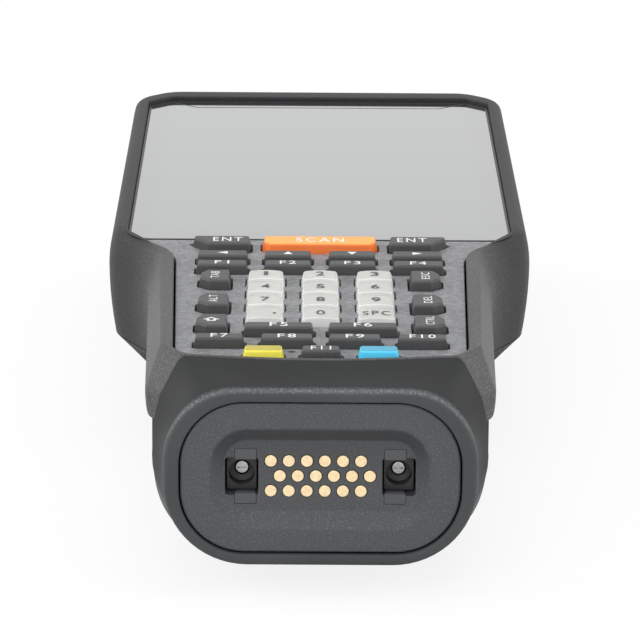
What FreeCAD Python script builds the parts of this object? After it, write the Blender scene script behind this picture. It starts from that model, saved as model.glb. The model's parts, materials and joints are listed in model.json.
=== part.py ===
import FreeCAD, Part
import math
import os

# A rugged handheld data terminal lying on its back, face up.
# X runs across it, Y from the docking end to the scanner end, Z up out of the display.
# Lengths are millimetres. Y is counted from the docking end while building, and
# every piece is moved back by half the length when it is written.

V = FreeCAD.Vector

# Whole terminal
length = 216.8
half_width = 39.3            # widest, a little below the rim
top_z = 38.4                 # face of the window and of the keypad plate
rim_height = 1.0             # the rim stands this far above the window
wall = 2.2
seam_gap = 0.15              # clear space between neighbouring mouldings

# Head, the wide part that holds the display
head_crest_half = 38.7       # half width at the rim
head_hem_half = 38.1         # half width at the side wall's lower edge
head_side_drop = 18.9        # the side wall goes this far below the face
head_depth = 26.8            # the flat back of the head lies this far below the face
head_back_half = 31.2
head_corner_y = 210.0
head_end_half = 32.0
shoulder_slope = math.radians(27.1)          # turned this far from Y
shoulder_x, shoulder_y = 34.3, 86.0
shoulder_inner_r, shoulder_outer_r = 14.0, 15.0

# Handle, the narrow part under the keypad
handle_lower_half = 28.2
skirt_drop = 6.0             # the side wall is widest this far below the face
handle_side_drop = 10.4      # and ends here
handle_corner_r = 13.5
belly_depth = top_z          # the belly and the scanner hump both touch the table
front_bow_y = 5.2            # where the bowed edge's two straight ends would meet
front_bow_r = 90.0
front_corner_x, front_corner_y = 23.4, 8.7
rim_round = 1.3

# Display
window_half = 35.6
window_y0, window_y1 = 90.7, 209.8
window_thick = 1.1
ledge_thick = 1.6
lcd_half, lcd_y0, lcd_y1, lcd_thick = 30.5, 97.0, 203.0, 3.4

# Keypad plate, keys and what lies under them
bezel_half, bezel_front_half = 26.3, 24.5   # the plate is a little narrower at the docking end
bezel_y1 = 90.3
bezel_thick = 1.2
key_gap = 0.3
key_height = 1.8
key_draft = 0.35
key_round = 0.45
flange_reach = 0.45
flange_thick = 0.6
flange_play = 0.1
key_travel = 0.8
membrane_thick = 0.8
board_thick = 1.0

# Docking end
ring_half = 26.1
ring_top_drop, ring_bottom_drop = 2.8, 33.15
ring_top_r, ring_low_r = 12.2, 14.0
boot_low_r = 16.5
nose_length = 9.5
dock_half, dock_top_drop, dock_bottom_drop = 23.3, 5.0, 30.9
dock_corner_r = 10.7
dock_face_y = 0.6
dock_thick = 5.0
dock_recess_half, dock_recess_high = 18.5, 8.75
dock_recess_deep = 1.7
dock_recess_slope = 2.6
dock_mid_drop = 18.1
pad_pitch = 3.0
pad_row = 2.6
pad_radius = 1.0
pad_clear = 0.12
socket_x, socket_drop = 13.1, 18.2
socket_half_w, socket_half_h = 2.8, 3.3
socket_bore_r = 2.2
socket_sink = 2.3
socket_side_gap = 0.35
tab_stem = 0.3
ear_half_w, ear_high, ear_shift = 1.85, 1.5, 0.65

# Battery pack, in the belly of the handle
battery_y0, battery_y1 = 22.0, 93.0
battery_top_drop = 20.0
battery_gap = 0.25

# Scanner hump and its window
hump_base_half, hump_y0, hump_y1 = 29.0, 162.0, 214.0
hump_foot_half, hump_foot_y0, hump_foot_y1 = 24.0, 174.0, 210.5
nose_half, nose_y0, nose_y1 = 21.0, 196.0, 216.3
nose_top_drop, nose_bottom_drop = 16.4, 31.5
scan_half, scan_top_drop, scan_bottom_drop = 17.0, 20.0, 29.2

# Side triggers
trigger_y0, trigger_y1 = 112.0, 138.0
trigger_top_drop, trigger_bottom_drop = 6.0, 13.4


def flat_z(z):
    """Places an outline's points in the horizontal plane at height z."""
    return lambda u, v: V(u, v, z)


def upright_y(y):
    """Places an outline's points in the upright plane that faces the docking end at y."""
    return lambda u, v: V(u, y, v)


def both_sides(right):
    """Closes an outline that is given by its right-hand corners, from near to far."""
    left = [(-x, y, r) for x, y, r in reversed(right) if x > 0]
    return right + left


def block_outline(x0, x1, y0, y1, r=0.0):
    return [(x0, y0, r), (x1, y0, r), (x1, y1, r), (x0, y1, r)]


def inset(corners, d):
    """Moves every edge of an anticlockwise outline inwards by d, or outwards if d is negative."""
    count = len(corners)
    lines = []
    for i in range(count):
        (ax, ay, _), (bx, by, _) = corners[i], corners[(i + 1) % count]
        size = math.hypot(bx - ax, by - ay)
        ux, uy = (bx - ax) / size, (by - ay) / size
        lines.append((ax - uy * d, ay + ux * d, ux, uy))
    moved = []
    for i in range(count):
        px, py, pu, pv = lines[i - 1]
        qx, qy, qu, qv = lines[i]
        cross = pu * qv - pv * qu
        t = ((qx - px) * qv - (qy - py) * qu) / cross
        r = corners[i][2]
        grown = r - d if cross > 0 else r + d
        moved.append((px + t * pu, py + t * pv, max(grown, 0.0) if r else 0.0))
    return moved


def wire(corners, place):
    """A closed wire of straight edges and tangent arcs through rounded corners."""
    count = len(corners)
    starts, ends, arcs = [], [], []
    for i, (x, y, r) in enumerate(corners):
        ax, ay, _ = corners[i - 1]
        bx, by, _ = corners[(i + 1) % count]
        a = V(x - ax, y - ay, 0).normalize()
        b = V(bx - x, by - y, 0).normalize()
        half_turn = a.getAngle(b) / 2
        p = V(x, y, 0)
        reach = r * math.tan(half_turn)
        first, last = p - a * reach, p + b * reach
        middle = p
        if r:
            middle = p + (b - a).normalize() * (r / math.cos(half_turn) - r)
        starts.append(first)
        ends.append(last)
        arcs.append(middle)
    edges = []
    for i, (x, y, r) in enumerate(corners):
        if r:
            points = [place(q.x, q.y) for q in (starts[i], arcs[i], ends[i])]
            edges.append(Part.Arc(*points).toShape())
        p, q = ends[i], starts[(i + 1) % count]
        if (q - p).Length > 1e-6:
            edges.append(Part.LineSegment(place(p.x, p.y), place(q.x, q.y)).toShape())
    return Part.Wire(edges)


def prism(corners, z0, z1):
    """An outline seen from above, standing from z0 to z1."""
    return Part.Face(wire(corners, flat_z(z0))).extrude(V(0, 0, z1 - z0))


def bar(corners, y0, y1):
    """An outline seen from the docking end, running from y0 to y1."""
    return Part.Face(wire(corners, upright_y(y0))).extrude(V(0, y1 - y0, 0))


def taper(low, high, z0, z1):
    """A straight-sided body between two outlines seen from above."""
    return Part.makeLoft([wire(low, flat_z(z0)), wire(high, flat_z(z1))], True, True)


def box(x0, x1, y0, y1, z0, z1):
    return Part.makeBox(x1 - x0, y1 - y0, z1 - z0, V(x0, y0, z0))


def disc(x, y, z, r, height, direction=V(0, 0, 1)):
    return Part.makeCylinder(r, height, V(x, y, z), direction)


def rounded(solid, r, wanted):
    """Rounds the edges that wanted picks, and leaves the body as it is if they won't round."""
    edges = [edge for edge in solid.Edges if wanted(edge)]
    for size in (r, r * 0.6):
        try:
            made = solid.makeFillet(size, edges)
            if made.isValid() and made.Volume > 0.5 * solid.Volume:
                return made
        except Part.OCCError:
            continue
    print("left unrounded:", len(edges), "edges at", r)
    return solid


def at_height(z, slack=0.01):
    """Picks edges that lie wholly at height z."""
    return lambda e: abs(e.BoundBox.ZMin - z) < slack and abs(e.BoundBox.ZMax - z) < slack


def at_y(y, slack=0.01):
    """Picks edges that lie wholly in the upright plane at y."""
    return lambda e: abs(e.BoundBox.YMin - y) < slack and abs(e.BoundBox.YMax - y) < slack


def cross_slot(x, y, z, reach, width, deep, axis):
    """Two crossed slots for a screwdriver, cut along Z or Y from the screw's face."""
    if axis == "z":
        one = box(x - reach, x + reach, y - width, y + width, z, z + deep)
        two = box(x - width, x + width, y - reach, y + reach, z, z + deep)
    else:
        one = box(x - reach, x + reach, y, y + deep, z - width, z + width)
        two = box(x - width, x + width, y, y + deep, z - reach, z + reach)
    return one.fuse(two)


# Outlines seen from above

def shoulder_at(x, shift):
    """How far along Y the shoulder's slanted line has come at x; shift moves it outwards."""
    return shoulder_y + (x - shoulder_x - shift) / math.tan(shoulder_slope)


def head_corners(head_x, shift):
    return [(head_x, shoulder_at(head_x, shift), shoulder_outer_r),
            (head_x, head_corner_y, 5), (head_end_half, length, 5)]


def body_outline(corner, side_x, head_x, shift):
    """The terminal's outline. corner gives its points between the bow and the handle's side."""
    return both_sides([
        (0, front_bow_y, front_bow_r), *corner,
        (side_x, shoulder_at(side_x, shift), shoulder_inner_r), *head_corners(head_x, shift)])


def head_outline(near_x, head_x, shift):
    """The head's part of the outline, from the middle of the shoulder on."""
    return both_sides([(near_x, shoulder_at(near_x, shift), 0), *head_corners(head_x, shift)])


def rim_outline():
    return body_outline([(front_corner_x, front_corner_y, 0), (27.1, 15.0, 5)],
                        29.25, head_crest_half, 0.0)


def skirt_outline():
    return body_outline([(27.3, 7.9, 0), (29.45, 10.2, 2)], 31.2, half_width, 0.9)


def hem_outline():
    return body_outline([(26.8, 8.2, 0), (28.75, 10.4, 2)], 30.2, half_width - 0.1, 0.5)


def window_outline():
    return both_sides([(window_half, window_y0, 4.5), (window_half, 205.0, 1.5),
                       (31.0, window_y1, 3)])


def bezel_outline():
    return both_sides([(0, front_bow_y + 0.55, front_bow_r), (22.3, 9.3, 3.5),
                       (bezel_front_half, 13.2, 4), (bezel_half, 78.4, 14),
                       (34.6, bezel_y1, 0)])


# Casing

def front_housing():
    """Upper shell: the rim round the display and keypad, and the head's side walls."""
    crest = top_z + rim_height
    skirt_z, low_z = top_z - skirt_drop, top_z - handle_side_drop
    shell = taper(skirt_outline(), rim_outline(), skirt_z, crest)
    shell = shell.fuse(taper(hem_outline(), skirt_outline(), low_z, skirt_z))
    shell = shell.fuse(taper(head_outline(29.0, head_hem_half, 0.0),
                             head_outline(30.4, half_width - 0.1, 0.5),
                             top_z - head_side_drop, low_z))

    def outer_crest(e):
        return at_height(crest)(e) and e.BoundBox.YMax > front_corner_y + 0.1
    shell = rounded(shell, rim_round, outer_crest)
    ledge_z = top_z - bezel_thick - 0.05
    shell = shell.cut(prism(inset(window_outline(), -seam_gap), ledge_z, crest + 2))
    shell = shell.cut(prism(inset(bezel_outline(), -0.3), ledge_z, crest + 2))
    below = ledge_z - ledge_thick
    shell = shell.cut(box(-33.4, 33.4, 95.0, 206.0, below - 1, ledge_z + 1))
    shell = shell.cut(prism(inset(bezel_outline(), 1.15), below - 1, ledge_z + 1))
    shell = shell.cut(box(-30, 30, 85.0, 96.0, below - 1, ledge_z + 1))
    shell = shell.cut(box(-14.2, 14.2, front_row_y - 0.7, 14.0, below - 1, ledge_z + 1))
    room = both_sides([(34.0, 93.5, 2), (36.2, 99.0, 2), (36.2, 208.5, 3), (30.5, 214.0, 3)])
    shell = shell.cut(prism(room, top_z - head_side_drop - 1, below))
    keypad_room = both_sides([(26.4, 10.4, 2), (26.4, 94.0, 0)])
    shell = shell.cut(prism(keypad_room, top_z - head_side_drop - 1, below))
    for side in (1, -1):
        shell = shell.cut(trigger_block(side, seam_gap + 0.05, half_width + 2, 30))
        shell = shell.cut(trigger_dish(side))
    return shell


def trigger_dish(side):
    """The shallow scoop round a trigger, cut into the side wall."""
    mid_y = (trigger_y0 + trigger_y1) / 2
    mid_z = top_z - (trigger_top_drop + trigger_bottom_drop) / 2
    reach, depth, half_high = 17.5, 0.55, 5.0
    r = (reach * reach + depth * depth) / (2 * depth)
    scoop = disc(half_width - depth + r, mid_y, mid_z - half_high, r, 2 * half_high)
    return scoop if side > 0 else scoop.mirror(V(0, 0, 0), V(1, 0, 0))


def trigger_block(side, grow, outer_x, inner_x):
    """A rounded key shape through the side wall, from inner_x out to outer_x."""
    half_high = (trigger_bottom_drop - trigger_top_drop) / 2
    mid_z = top_z - (trigger_top_drop + trigger_bottom_drop) / 2
    corners = block_outline(trigger_y0, trigger_y1, mid_z - half_high, mid_z + half_high, 2.6)
    face = Part.Face(wire(inset(corners, -grow), lambda u, v: V(inner_x, u, v)))
    solid = face.extrude(V(outer_x - inner_x, 0, 0))
    return solid if side > 0 else solid.mirror(V(0, 0, 0), V(1, 0, 0))


def trigger(side):
    """A side scan trigger: a ribbed key with a flange inside the wall."""
    face_x = half_width - 0.35
    key = trigger_block(1, 0, face_x, 35.0)
    key = rounded(key, 0.6, lambda e: abs(e.BoundBox.XMin - face_x) < 0.01)
    flange = trigger_block(1, 1.0, 35.9, 35.0)
    key = key.fuse(flange).removeSplitter()
    mid_z = top_z - (trigger_top_drop + trigger_bottom_drop) / 2
    for i in range(-3, 4):
        y = (trigger_y0 + trigger_y1) / 2 + i * 2.4
        key = key.cut(box(face_x - 0.3, face_x + 1, y - 0.4, y + 0.4, mid_z - 2.2, mid_z + 2.2))
    return key if side > 0 else key.mirror(V(0, 0, 0), V(1, 0, 0))


def handle_section(y, bottom_drop, r=handle_corner_r):
    half, low = handle_lower_half, top_z - bottom_drop
    high = top_z - handle_side_drop - 0.1
    corners = [(half, high, 0), (-half, high, 0), (-half, low, r), (half, low, r)]
    return wire(corners, upright_y(y))


def handle_belly():
    """The lower handle: thin at the docking end, deepest at the battery, rising to the head."""
    front_stations = [(nose_length, 33.2, boot_low_r), (15.0, 35.6, 15.6), (21.0, 37.7, 14.5),
                      (27.0, belly_depth, handle_corner_r)]
    front = Part.makeLoft([handle_section(*station) for station in front_stations], True, False)
    middle = Part.makeLoft([handle_section(27.0, belly_depth),
                            handle_section(94.0, belly_depth)], True, True)
    back_stations = [(94.0, belly_depth), (97.0, 37.6), (101.0, 34.6), (106.0, 29.6),
                     (109.0, 27.4), (113.0, 26.4)]
    back = Part.makeLoft([handle_section(y, d) for y, d in back_stations], True, False)
    return front.fuse(middle).fuse(back)


def head_back():
    """The head's bevelled back, with the scanner's nose at its end."""
    rise_z, back_z = top_z - head_side_drop - seam_gap, top_z - head_depth
    upper = head_outline(27.0, head_hem_half, -0.1)
    lower = both_sides([(20.0, 88.0, 0), (head_back_half, 95.5, 5),
                        (head_back_half, 206.0, 4), (25.5, 211.0, 4)])
    body = taper(lower, upper, back_z, rise_z)
    body = rounded(body, 3.0, lambda e: at_height(back_z)(e) and e.BoundBox.YMax > 96)
    foot = both_sides([(hump_foot_half, hump_foot_y0, 5), (hump_foot_half, hump_foot_y1, 5)])
    base = both_sides([(hump_base_half, hump_y0, 7), (hump_base_half, hump_y1, 7)])
    hump = taper(foot, base, 0.0, back_z + 2.6)
    hump = rounded(hump, 2.0, at_height(0.0))
    nose = box(-nose_half, nose_half, nose_y0, nose_y1,
               top_z - nose_bottom_drop, top_z - nose_top_drop)
    nose = rounded(nose, 1.6, lambda e: at_y(nose_y1)(e) and e.BoundBox.ZMin < top_z - 17)
    return body.fuse(hump).fuse(nose)


def battery_bay():
    half = handle_lower_half + battery_gap
    return box(-half, half, battery_y0 - battery_gap, battery_y1 + battery_gap,
               -5, top_z - battery_top_drop + battery_gap)


screw_places = [(x, y) for x in (-21.5, 21.5) for y in (118.0, 156.0)]
screw_head_r, screw_head_high = 2.4, 1.6
back_z = top_z - head_depth
latch_y0, latch_y1, latch_half, latch_travel = 109.5, 117.5, 9.0, 3.0
tongue_half, tongue_z, tongue_thick = 5.0, back_z + wall + 0.3, 1.0
camera_x, flash_x, camera_y = 6.0, -7.0, 193.0
camera_r, flash_r = 4.6, 2.4


def rear_housing():
    """Lower shell: handle, head back and scanner hump, hollowed for what it holds."""
    shell = handle_belly().fuse(head_back())
    hem_z = top_z - head_side_drop - seam_gap
    ceiling = top_z - battery_top_drop + battery_gap + 1.8
    shell = shell.cut(box(-40, 40, 97.0, length + 5, hem_z, top_z))
    for side_x in (-40, 26.2):
        shell = shell.cut(box(side_x, side_x + 13.8, 75.4, 97.1, hem_z, top_z))
    shell = shell.cut(battery_bay())
    shell = shell.cut(box(-25.4, 25.4, 11.8, 97.0, ceiling, top_z))
    shell = shell.cut(box(-25.0, 25.0, 97.0, 207.0, back_z + wall, top_z))
    shell = shell.cut(box(-33.5, 33.5, 93.0, 209.0, top_z - head_side_drop - 2.2, top_z))
    shell = shell.cut(box(-20.5, 20.5, 177.0, 207.0, wall, back_z + wall + 1))
    shell = shell.cut(box(-scan_half + 1, scan_half - 1, 200.0, length,
                          top_z - scan_bottom_drop + 1, top_z - scan_top_drop - 1))
    shell = shell.cut(scan_outline(seam_gap, nose_y1 - 1.7, nose_y1 + 1))
    for x, y in screw_places:
        shell = shell.fuse(disc(x, y, back_z + 0.5, 3.6, 8.5))
        shell = shell.cut(disc(x, y, back_z - 1, screw_head_r + 0.25, 1 + screw_head_high + 0.4))
        shell = shell.cut(disc(x, y, back_z, 1.1, 8.0))
    shell = shell.cut(box(-latch_half - 0.3, latch_half + 0.3, latch_y0 - 0.3,
                          latch_y1 + latch_travel + 0.3, back_z - 3, back_z + 1.0))
    shell = shell.cut(box(-4.3, 4.3, latch_y0 - 0.3, latch_y1 + latch_travel - 1.0,
                          back_z, back_z + wall + 1))
    shell = shell.cut(box(-tongue_half - 0.3, tongue_half + 0.3, battery_y1, 97.5,
                          tongue_z - 0.25, tongue_z + tongue_thick + 0.25))
    for x, r in ((camera_x, camera_r), (flash_x, flash_r)):
        shell = shell.cut(disc(x, camera_y, -1, r + 0.15, 4))
    for i in range(-3, 4):
        shell = shell.cut(speaker_slot(i))
    for side in (-1, 1):
        x, z = side * socket_x, top_z - socket_drop
        shell = shell.cut(disc(x, nose_length - 1, z, dock_screw_r + 0.05, 5, V(0, 1, 0)))
    return shell


def speaker_slot(i):
    reach = 5.5 - 0.35 * i * i
    x = i * 1.9
    return box(x - 0.5, x + 0.5, 138 - reach, 138 + reach, back_z - 1, back_z + wall + 1)


def scan_outline(grow, y0, y1):
    high, low = top_z - scan_top_drop, top_z - scan_bottom_drop
    corners = block_outline(-scan_half, scan_half, low, high, 1.5)
    return bar(inset(corners, -grow), y0, y1)


def dock_outline():
    return block_outline(-dock_half, dock_half, top_z - dock_bottom_drop,
                         top_z - dock_top_drop, dock_corner_r)


def end_bumper():
    """The rubber boot on the docking end, with the raised ring round the dock plate."""
    def section(y, half, top_drop, bottom_drop, top_r, low_r):
        high, low = top_z - top_drop, top_z - bottom_drop
        return wire([(half, high, top_r), (-half, high, top_r), (-half, low, low_r),
                     (half, low, low_r)], upright_y(y))
    ring = section(0.0, ring_half, ring_top_drop, ring_bottom_drop, ring_top_r, ring_low_r)
    lip = Part.Face(ring).extrude(V(0, 1.4, 0))
    lip = rounded(lip, 0.9, at_y(0.0))
    boot = Part.makeLoft([
        section(1.4, ring_half, ring_top_drop, ring_bottom_drop, ring_top_r, ring_low_r),
        section(5.0, 27.4, -0.35, 33.1, 8.0, 15.4),
        section(nose_length, 28.3, -0.75, 33.2, 5.0, boot_low_r)], True, True)
    boot = lip.fuse(boot)
    crest = top_z + rim_height
    gap = seam_gap
    skirt_z = top_z - skirt_drop
    boot = boot.cut(taper(inset(skirt_outline(), -gap), inset(rim_outline(), -gap),
                          skirt_z, crest + 0.01))
    boot = boot.cut(taper(inset(hem_outline(), -gap), inset(skirt_outline(), -gap),
                          top_z - handle_side_drop - gap, skirt_z))
    boot = boot.cut(prism(inset(rim_outline(), -gap), crest, crest + 5))
    boot = boot.cut(bar(inset(dock_outline(), -0.2), -1, dock_face_y + dock_thick + gap))
    boot = boot.cut(bar(inset(dock_outline(), 1.6), 2, nose_length + 1))
    return max(boot.Solids, key=lambda s: s.Volume)


def pad_places():
    """The eighteen contacts: three rows of six, the middle row moved by half a pitch."""
    for row in (-1, 0, 1):
        shift = -0.25 if row else 0.25
        for i in range(6):
            yield (i - 2.5 + shift) * pad_pitch, top_z - dock_mid_drop + row * pad_row


def socket_shapes(side, grow):
    """The recess of a lock socket in the dock plate's floor, and of its two ears."""
    x, z = side * socket_x, top_z - socket_drop
    hole = inset(block_outline(x - socket_half_w, x + socket_half_w,
                               z - socket_half_h, z + socket_half_h, 0.6), -grow)
    ear_x = x - side * ear_shift
    ears = inset(block_outline(ear_x - ear_half_w, ear_x + ear_half_w,
                               z - socket_half_h - ear_high, z + socket_half_h + ear_high, 0.25),
                 -grow)
    return hole, ears


floor_y = dock_face_y + dock_recess_deep


def dock_plate():
    """The hard plate in the docking end: a dished recess, contact holes and lock sockets."""
    plate = bar(dock_outline(), dock_face_y, dock_face_y + dock_thick)
    plate = rounded(plate, 0.4, at_y(dock_face_y))
    mid_z = top_z - dock_mid_drop
    mouth = block_outline(-dock_recess_half, dock_recess_half, mid_z - dock_recess_high,
                          mid_z + dock_recess_high, 6.5)
    bed = inset(mouth, dock_recess_slope)
    dish = Part.makeLoft([wire(mouth, upright_y(dock_face_y)), wire(bed, upright_y(floor_y))],
                         True, True)
    dish = dish.fuse(bar(mouth, dock_face_y - 1, dock_face_y)).removeSplitter()
    dish = rounded(dish, 0.8, at_y(floor_y))
    plate = plate.cut(dish)
    plate = rounded(plate, 0.7, lambda e: at_y(dock_face_y)(e)
                    and e.BoundBox.XMax < dock_recess_half + 0.2
                    and e.BoundBox.XMin > -dock_recess_half - 0.2
                    and e.BoundBox.ZMax < mid_z + dock_recess_high + 0.2
                    and e.BoundBox.ZMin > mid_z - dock_recess_high - 0.2)
    for x, z in pad_places():
        plate = plate.cut(disc(x, 0, z, pad_radius + pad_clear, 10, V(0, 1, 0)))
    for side in (-1, 1):
        hole, ears = socket_shapes(side, 0)
        plate = plate.cut(bar(hole, floor_y - 1, dock_face_y + dock_thick + 1))
        plate = plate.cut(bar(ears, floor_y - 1, floor_y + 1.2))
    return plate


def dock_contacts():
    """Gold-faced spring contacts, each standing a little proud of the plate's floor."""
    pads = []
    for x, z in pad_places():
        pad = disc(x, floor_y - 0.15, z, pad_radius, 2.6, V(0, 1, 0))
        pads.append(rounded(pad, 0.12, at_y(floor_y - 0.15)))
    return Part.makeCompound(pads)


socket_face_y = floor_y + socket_sink
socket_bore_length = 2.6
socket_back_y = nose_length - 0.2
bore_end_y = socket_face_y + socket_bore_length
screw_face_y = bore_end_y + 0.25             # below the bore's coned bottom
dock_head_r, dock_head_high = 1.2, 0.9
dock_screw_r, dock_screw_length = 0.75, 3.2


def dock_sockets():
    """Two lock sockets: a bored block below the plate's floor, held by two flush ears."""
    blocks = []
    for side in (-1, 1):
        hole, _ = socket_shapes(side, -socket_side_gap)
        _, ears = socket_shapes(side, -0.08)
        x, z = side * socket_x, top_z - socket_drop
        block = bar(hole, socket_face_y, socket_back_y)
        tabs = bar(ears, floor_y + 0.05, floor_y + 1.1)
        tabs = tabs.cut(box(x - 5, x + 5, floor_y - 1, floor_y + 2,
                            z - socket_half_h + tab_stem, z + socket_half_h - tab_stem))
        # each tab runs back along the opening's wall to the block
        ear_x = x - side * ear_shift
        for low in (z - socket_half_h + 0.08, z + socket_half_h - 0.08 - tab_stem - 0.1):
            stem = box(ear_x - 1.6, ear_x + 1.6, floor_y + 0.3, socket_face_y + 1.5,
                       low, low + tab_stem + 0.1)
            tabs = tabs.fuse(stem)
        block = block.fuse(tabs)
        block = block.cut(disc(x, floor_y, z, socket_bore_r, bore_end_y - floor_y, V(0, 1, 0)))
        cone = Part.makeCone(socket_bore_r, dock_head_r + 0.1, screw_face_y - bore_end_y,
                             V(x, bore_end_y, z), V(0, 1, 0))
        block = block.cut(cone)
        block = block.cut(disc(x, screw_face_y, z, dock_head_r + 0.1, dock_head_high, V(0, 1, 0)))
        blocks.append(block.cut(disc(x, floor_y, z, dock_screw_r + 0.1, 12, V(0, 1, 0))))
    return Part.makeCompound(blocks)


def dock_screws():
    """The screws sunk in the floors of the two lock sockets, which hold the dock plate."""
    screws = []
    face = screw_face_y
    seat = face + dock_head_high
    for side in (-1, 1):
        x, z = side * socket_x, top_z - socket_drop
        head = disc(x, face, z, dock_head_r, dock_head_high, V(0, 1, 0))
        head = rounded(head, 0.25, at_y(face))
        screw = head.fuse(disc(x, seat, z, dock_screw_r, dock_screw_length, V(0, 1, 0)))
        slots = cross_slot(x, face - 0.1, z, 0.8, 0.16, 0.6, "y")
        screws.append(screw.cut(slots))
    return Part.makeCompound(screws)


# Keypad: every key is an outline seen from above, and its colour group

def plain_key(x0, x1, y0, y1, r=0.7):
    return block_outline(x0, x1, y0, y1, r)


def side_key(side, mid_y):
    """A tall key with its two outer corners cut off."""
    x0, x1, half = 15.8, 21.6, 4.15
    right = [(x0, mid_y - half, 0.6), (x1 - 2.0, mid_y - half, 0.6), (x1, mid_y - half + 2.1, 0.6),
             (x1, mid_y + half - 2.4, 0.6), (x1 - 1.2, mid_y + half, 0.6), (x0, mid_y + half, 0.6)]
    return right if side > 0 else [(-x, y, r) for x, y, r in reversed(right)]


def enter_key(side):
    """The long key beside the scan key, cut back on its outer near corner."""
    right = [(12.6, 80.7, 0.7), (19.4, 80.7, 1.0), (23.6, 86.0, 0.6), (23.6, 87.1, 0.6),
             (12.6, 87.1, 0.7)]
    return right if side > 0 else [(-x, y, r) for x, y, r in reversed(right)]


def scan_key():
    return both_sides([(9.3, 80.5, 0.8), (10.6, 82.4, 0.8), (10.6, 87.1, 0.8)])


number_x = 9.65
number_half = 3.4
number_rows = [59.5, 50.75, 42.0, 33.2]
side_rows = [58.3, 42.0, 28.2]
front_row_y = 8.6


def key_outlines():
    """Every key's name and outline, row by row from the display down."""
    keys = {"key_enter_left": enter_key(-1), "key_scan": scan_key(),
            "key_enter_right": enter_key(1)}
    rows = [(("key_left", "key_up", "key_down", "key_right"), 71.8, 76.4),
            (("key_f1", "key_f2", "key_f3", "key_f4"), 65.1, 69.4)]
    spans = [(-22.4, -12.9), (-10.25, -1.35), (1.35, 10.25), (12.9, 22.4)]
    for names, y0, y1 in rows:
        for name, (x0, x1) in zip(names, spans):
            keys[name] = plain_key(x0, x1, y0, y1)
    digits = [("1", "2", "3"), ("4", "5", "6"), ("7", "8", "9"), ("point", "0", "space")]
    for y, names in zip(number_rows, digits):
        for x, name in zip((-number_x, 0, number_x), names):
            keys["key_" + name] = plain_key(x - number_half, x + number_half,
                                            y - 3.2, y + 3.0, 0.8)
    for side, group in ((-1, ("tab", "alt", "shift")), (1, ("escape", "back", "control"))):
        for mid_y, name in zip(side_rows, group):
            keys["key_" + name] = side_key(side, mid_y)
    keys["key_f5"] = plain_key(-13.25, -1.1, 23.2, 27.3)
    keys["key_f6"] = plain_key(1.1, 13.25, 23.2, 27.3)
    for name, x0, x1 in (("key_f7", -21.5, -12.8), ("key_f8", -10.4, -1.1),
                         ("key_f9", 1.1, 10.4), ("key_f10", 12.8, 21.5)):
        keys[name] = plain_key(x0, x1, 16.0, 20.0)
    for name, x in (("key_yellow", -number_x), ("key_f11", 0), ("key_blue", number_x)):
        keys[name] = plain_key(x - 3.5, x + 3.5, front_row_y, 12.5, 0.8)
    return keys


wave_keys = ["key_" + n for n in ("1", "2", "3", "4", "5", "6", "7", "8", "9", "point", "0", "space")]


def key_cap(name, corners):
    """A key cap: a drafted body through the plate, rounded on top, on a flange below it."""
    flange_z = top_z - bezel_thick - flange_play - flange_thick
    crown_z = top_z + key_height
    body = prism(corners, flange_z, top_z)
    crown = taper(corners, inset(corners, key_draft), top_z, crown_z)
    cap = body.fuse(crown).removeSplitter()
    near = min(c[1] for c in corners)
    if name in wave_keys:
        # number keys fall away in a smooth wave towards the user
        r = 9.0
        drop = 1.25
        low = disc(-40, near - 2.6, crown_z + r - drop, r, 80, V(1, 0, 0))
        cap = cap.cut(low)
        cap = rounded(cap, 0.35, lambda e: e.BoundBox.ZMin > crown_z - 0.1)
    else:
        cap = rounded(cap, key_round, at_height(crown_z))
    flange = prism(inset(corners, -flange_reach), flange_z, flange_z + flange_thick)
    solid = cap.fuse(flange).removeSplitter()
    assert solid.isValid(), name
    return solid


def keypad_bezel(keys):
    """The textured plate between the keys, with an opening for every key."""
    plate = prism(bezel_outline(), top_z - bezel_thick, top_z)
    plate = rounded(plate, 0.25, at_height(top_z))
    for corners in keys.values():
        plate = plate.cut(prism(inset(corners, -key_gap), top_z - 5, top_z + 1))
    mark_y, mark_r = 14.2, 0.7
    return plate.cut(disc(-4.9, mark_y, top_z - 0.5, mark_r, 1))


def keypad_membrane(keys):
    """The silicone sheet under the keys, with a low dome ring for each."""
    high = top_z - bezel_thick - flange_play - flange_thick - key_travel - 0.15
    outline = block_outline(-22.9, 22.9, 11.2, 88.0, 5)
    sheet = prism(outline, high - membrane_thick, high)
    for corners in keys.values():
        hollow = prism(inset(corners, 0.9), high - 0.35, high + 1)
        sheet = sheet.cut(hollow)
    return sheet


def keypad_board():
    high = top_z - bezel_thick - flange_play - flange_thick - key_travel - 0.15 \
        - membrane_thick - 0.05
    board = block_outline(-23.5, 23.5, 12.0, 86.0, 2)
    plug = box(-8, 8, 72, 77, high - board_thick - 1.2, high - board_thick)
    return prism(board, high - board_thick, high).fuse(plug)


# Display, boards and optics

def display_window():
    glass = prism(window_outline(), top_z - window_thick, top_z)
    return rounded(glass, 0.25, at_height(top_z))


def display_module():
    high = top_z - bezel_thick - 0.1
    frame = block_outline(-lcd_half, lcd_half, lcd_y0, lcd_y1, 1.0)
    return prism(frame, high - lcd_thick, high)


def main_board():
    """The processor board under the display, with its shields and connectors."""
    high = top_z - 7.4
    board = prism(block_outline(-31.5, 31.5, 97.0, 206.0, 2), high - 1.2, high)
    for x, y, w, d, tall in ((-14, 120, 22, 20, 1.6), (14, 126, 20, 26, 1.6),
                             (0, 162, 34, 18, 1.4), (0, 101, 18, 4, 2.2)):
        chip = box(x - w / 2, x + w / 2, y - d / 2, y + d / 2, high - 0.01, high + tall)
        board = board.fuse(chip)
    return board


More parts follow.
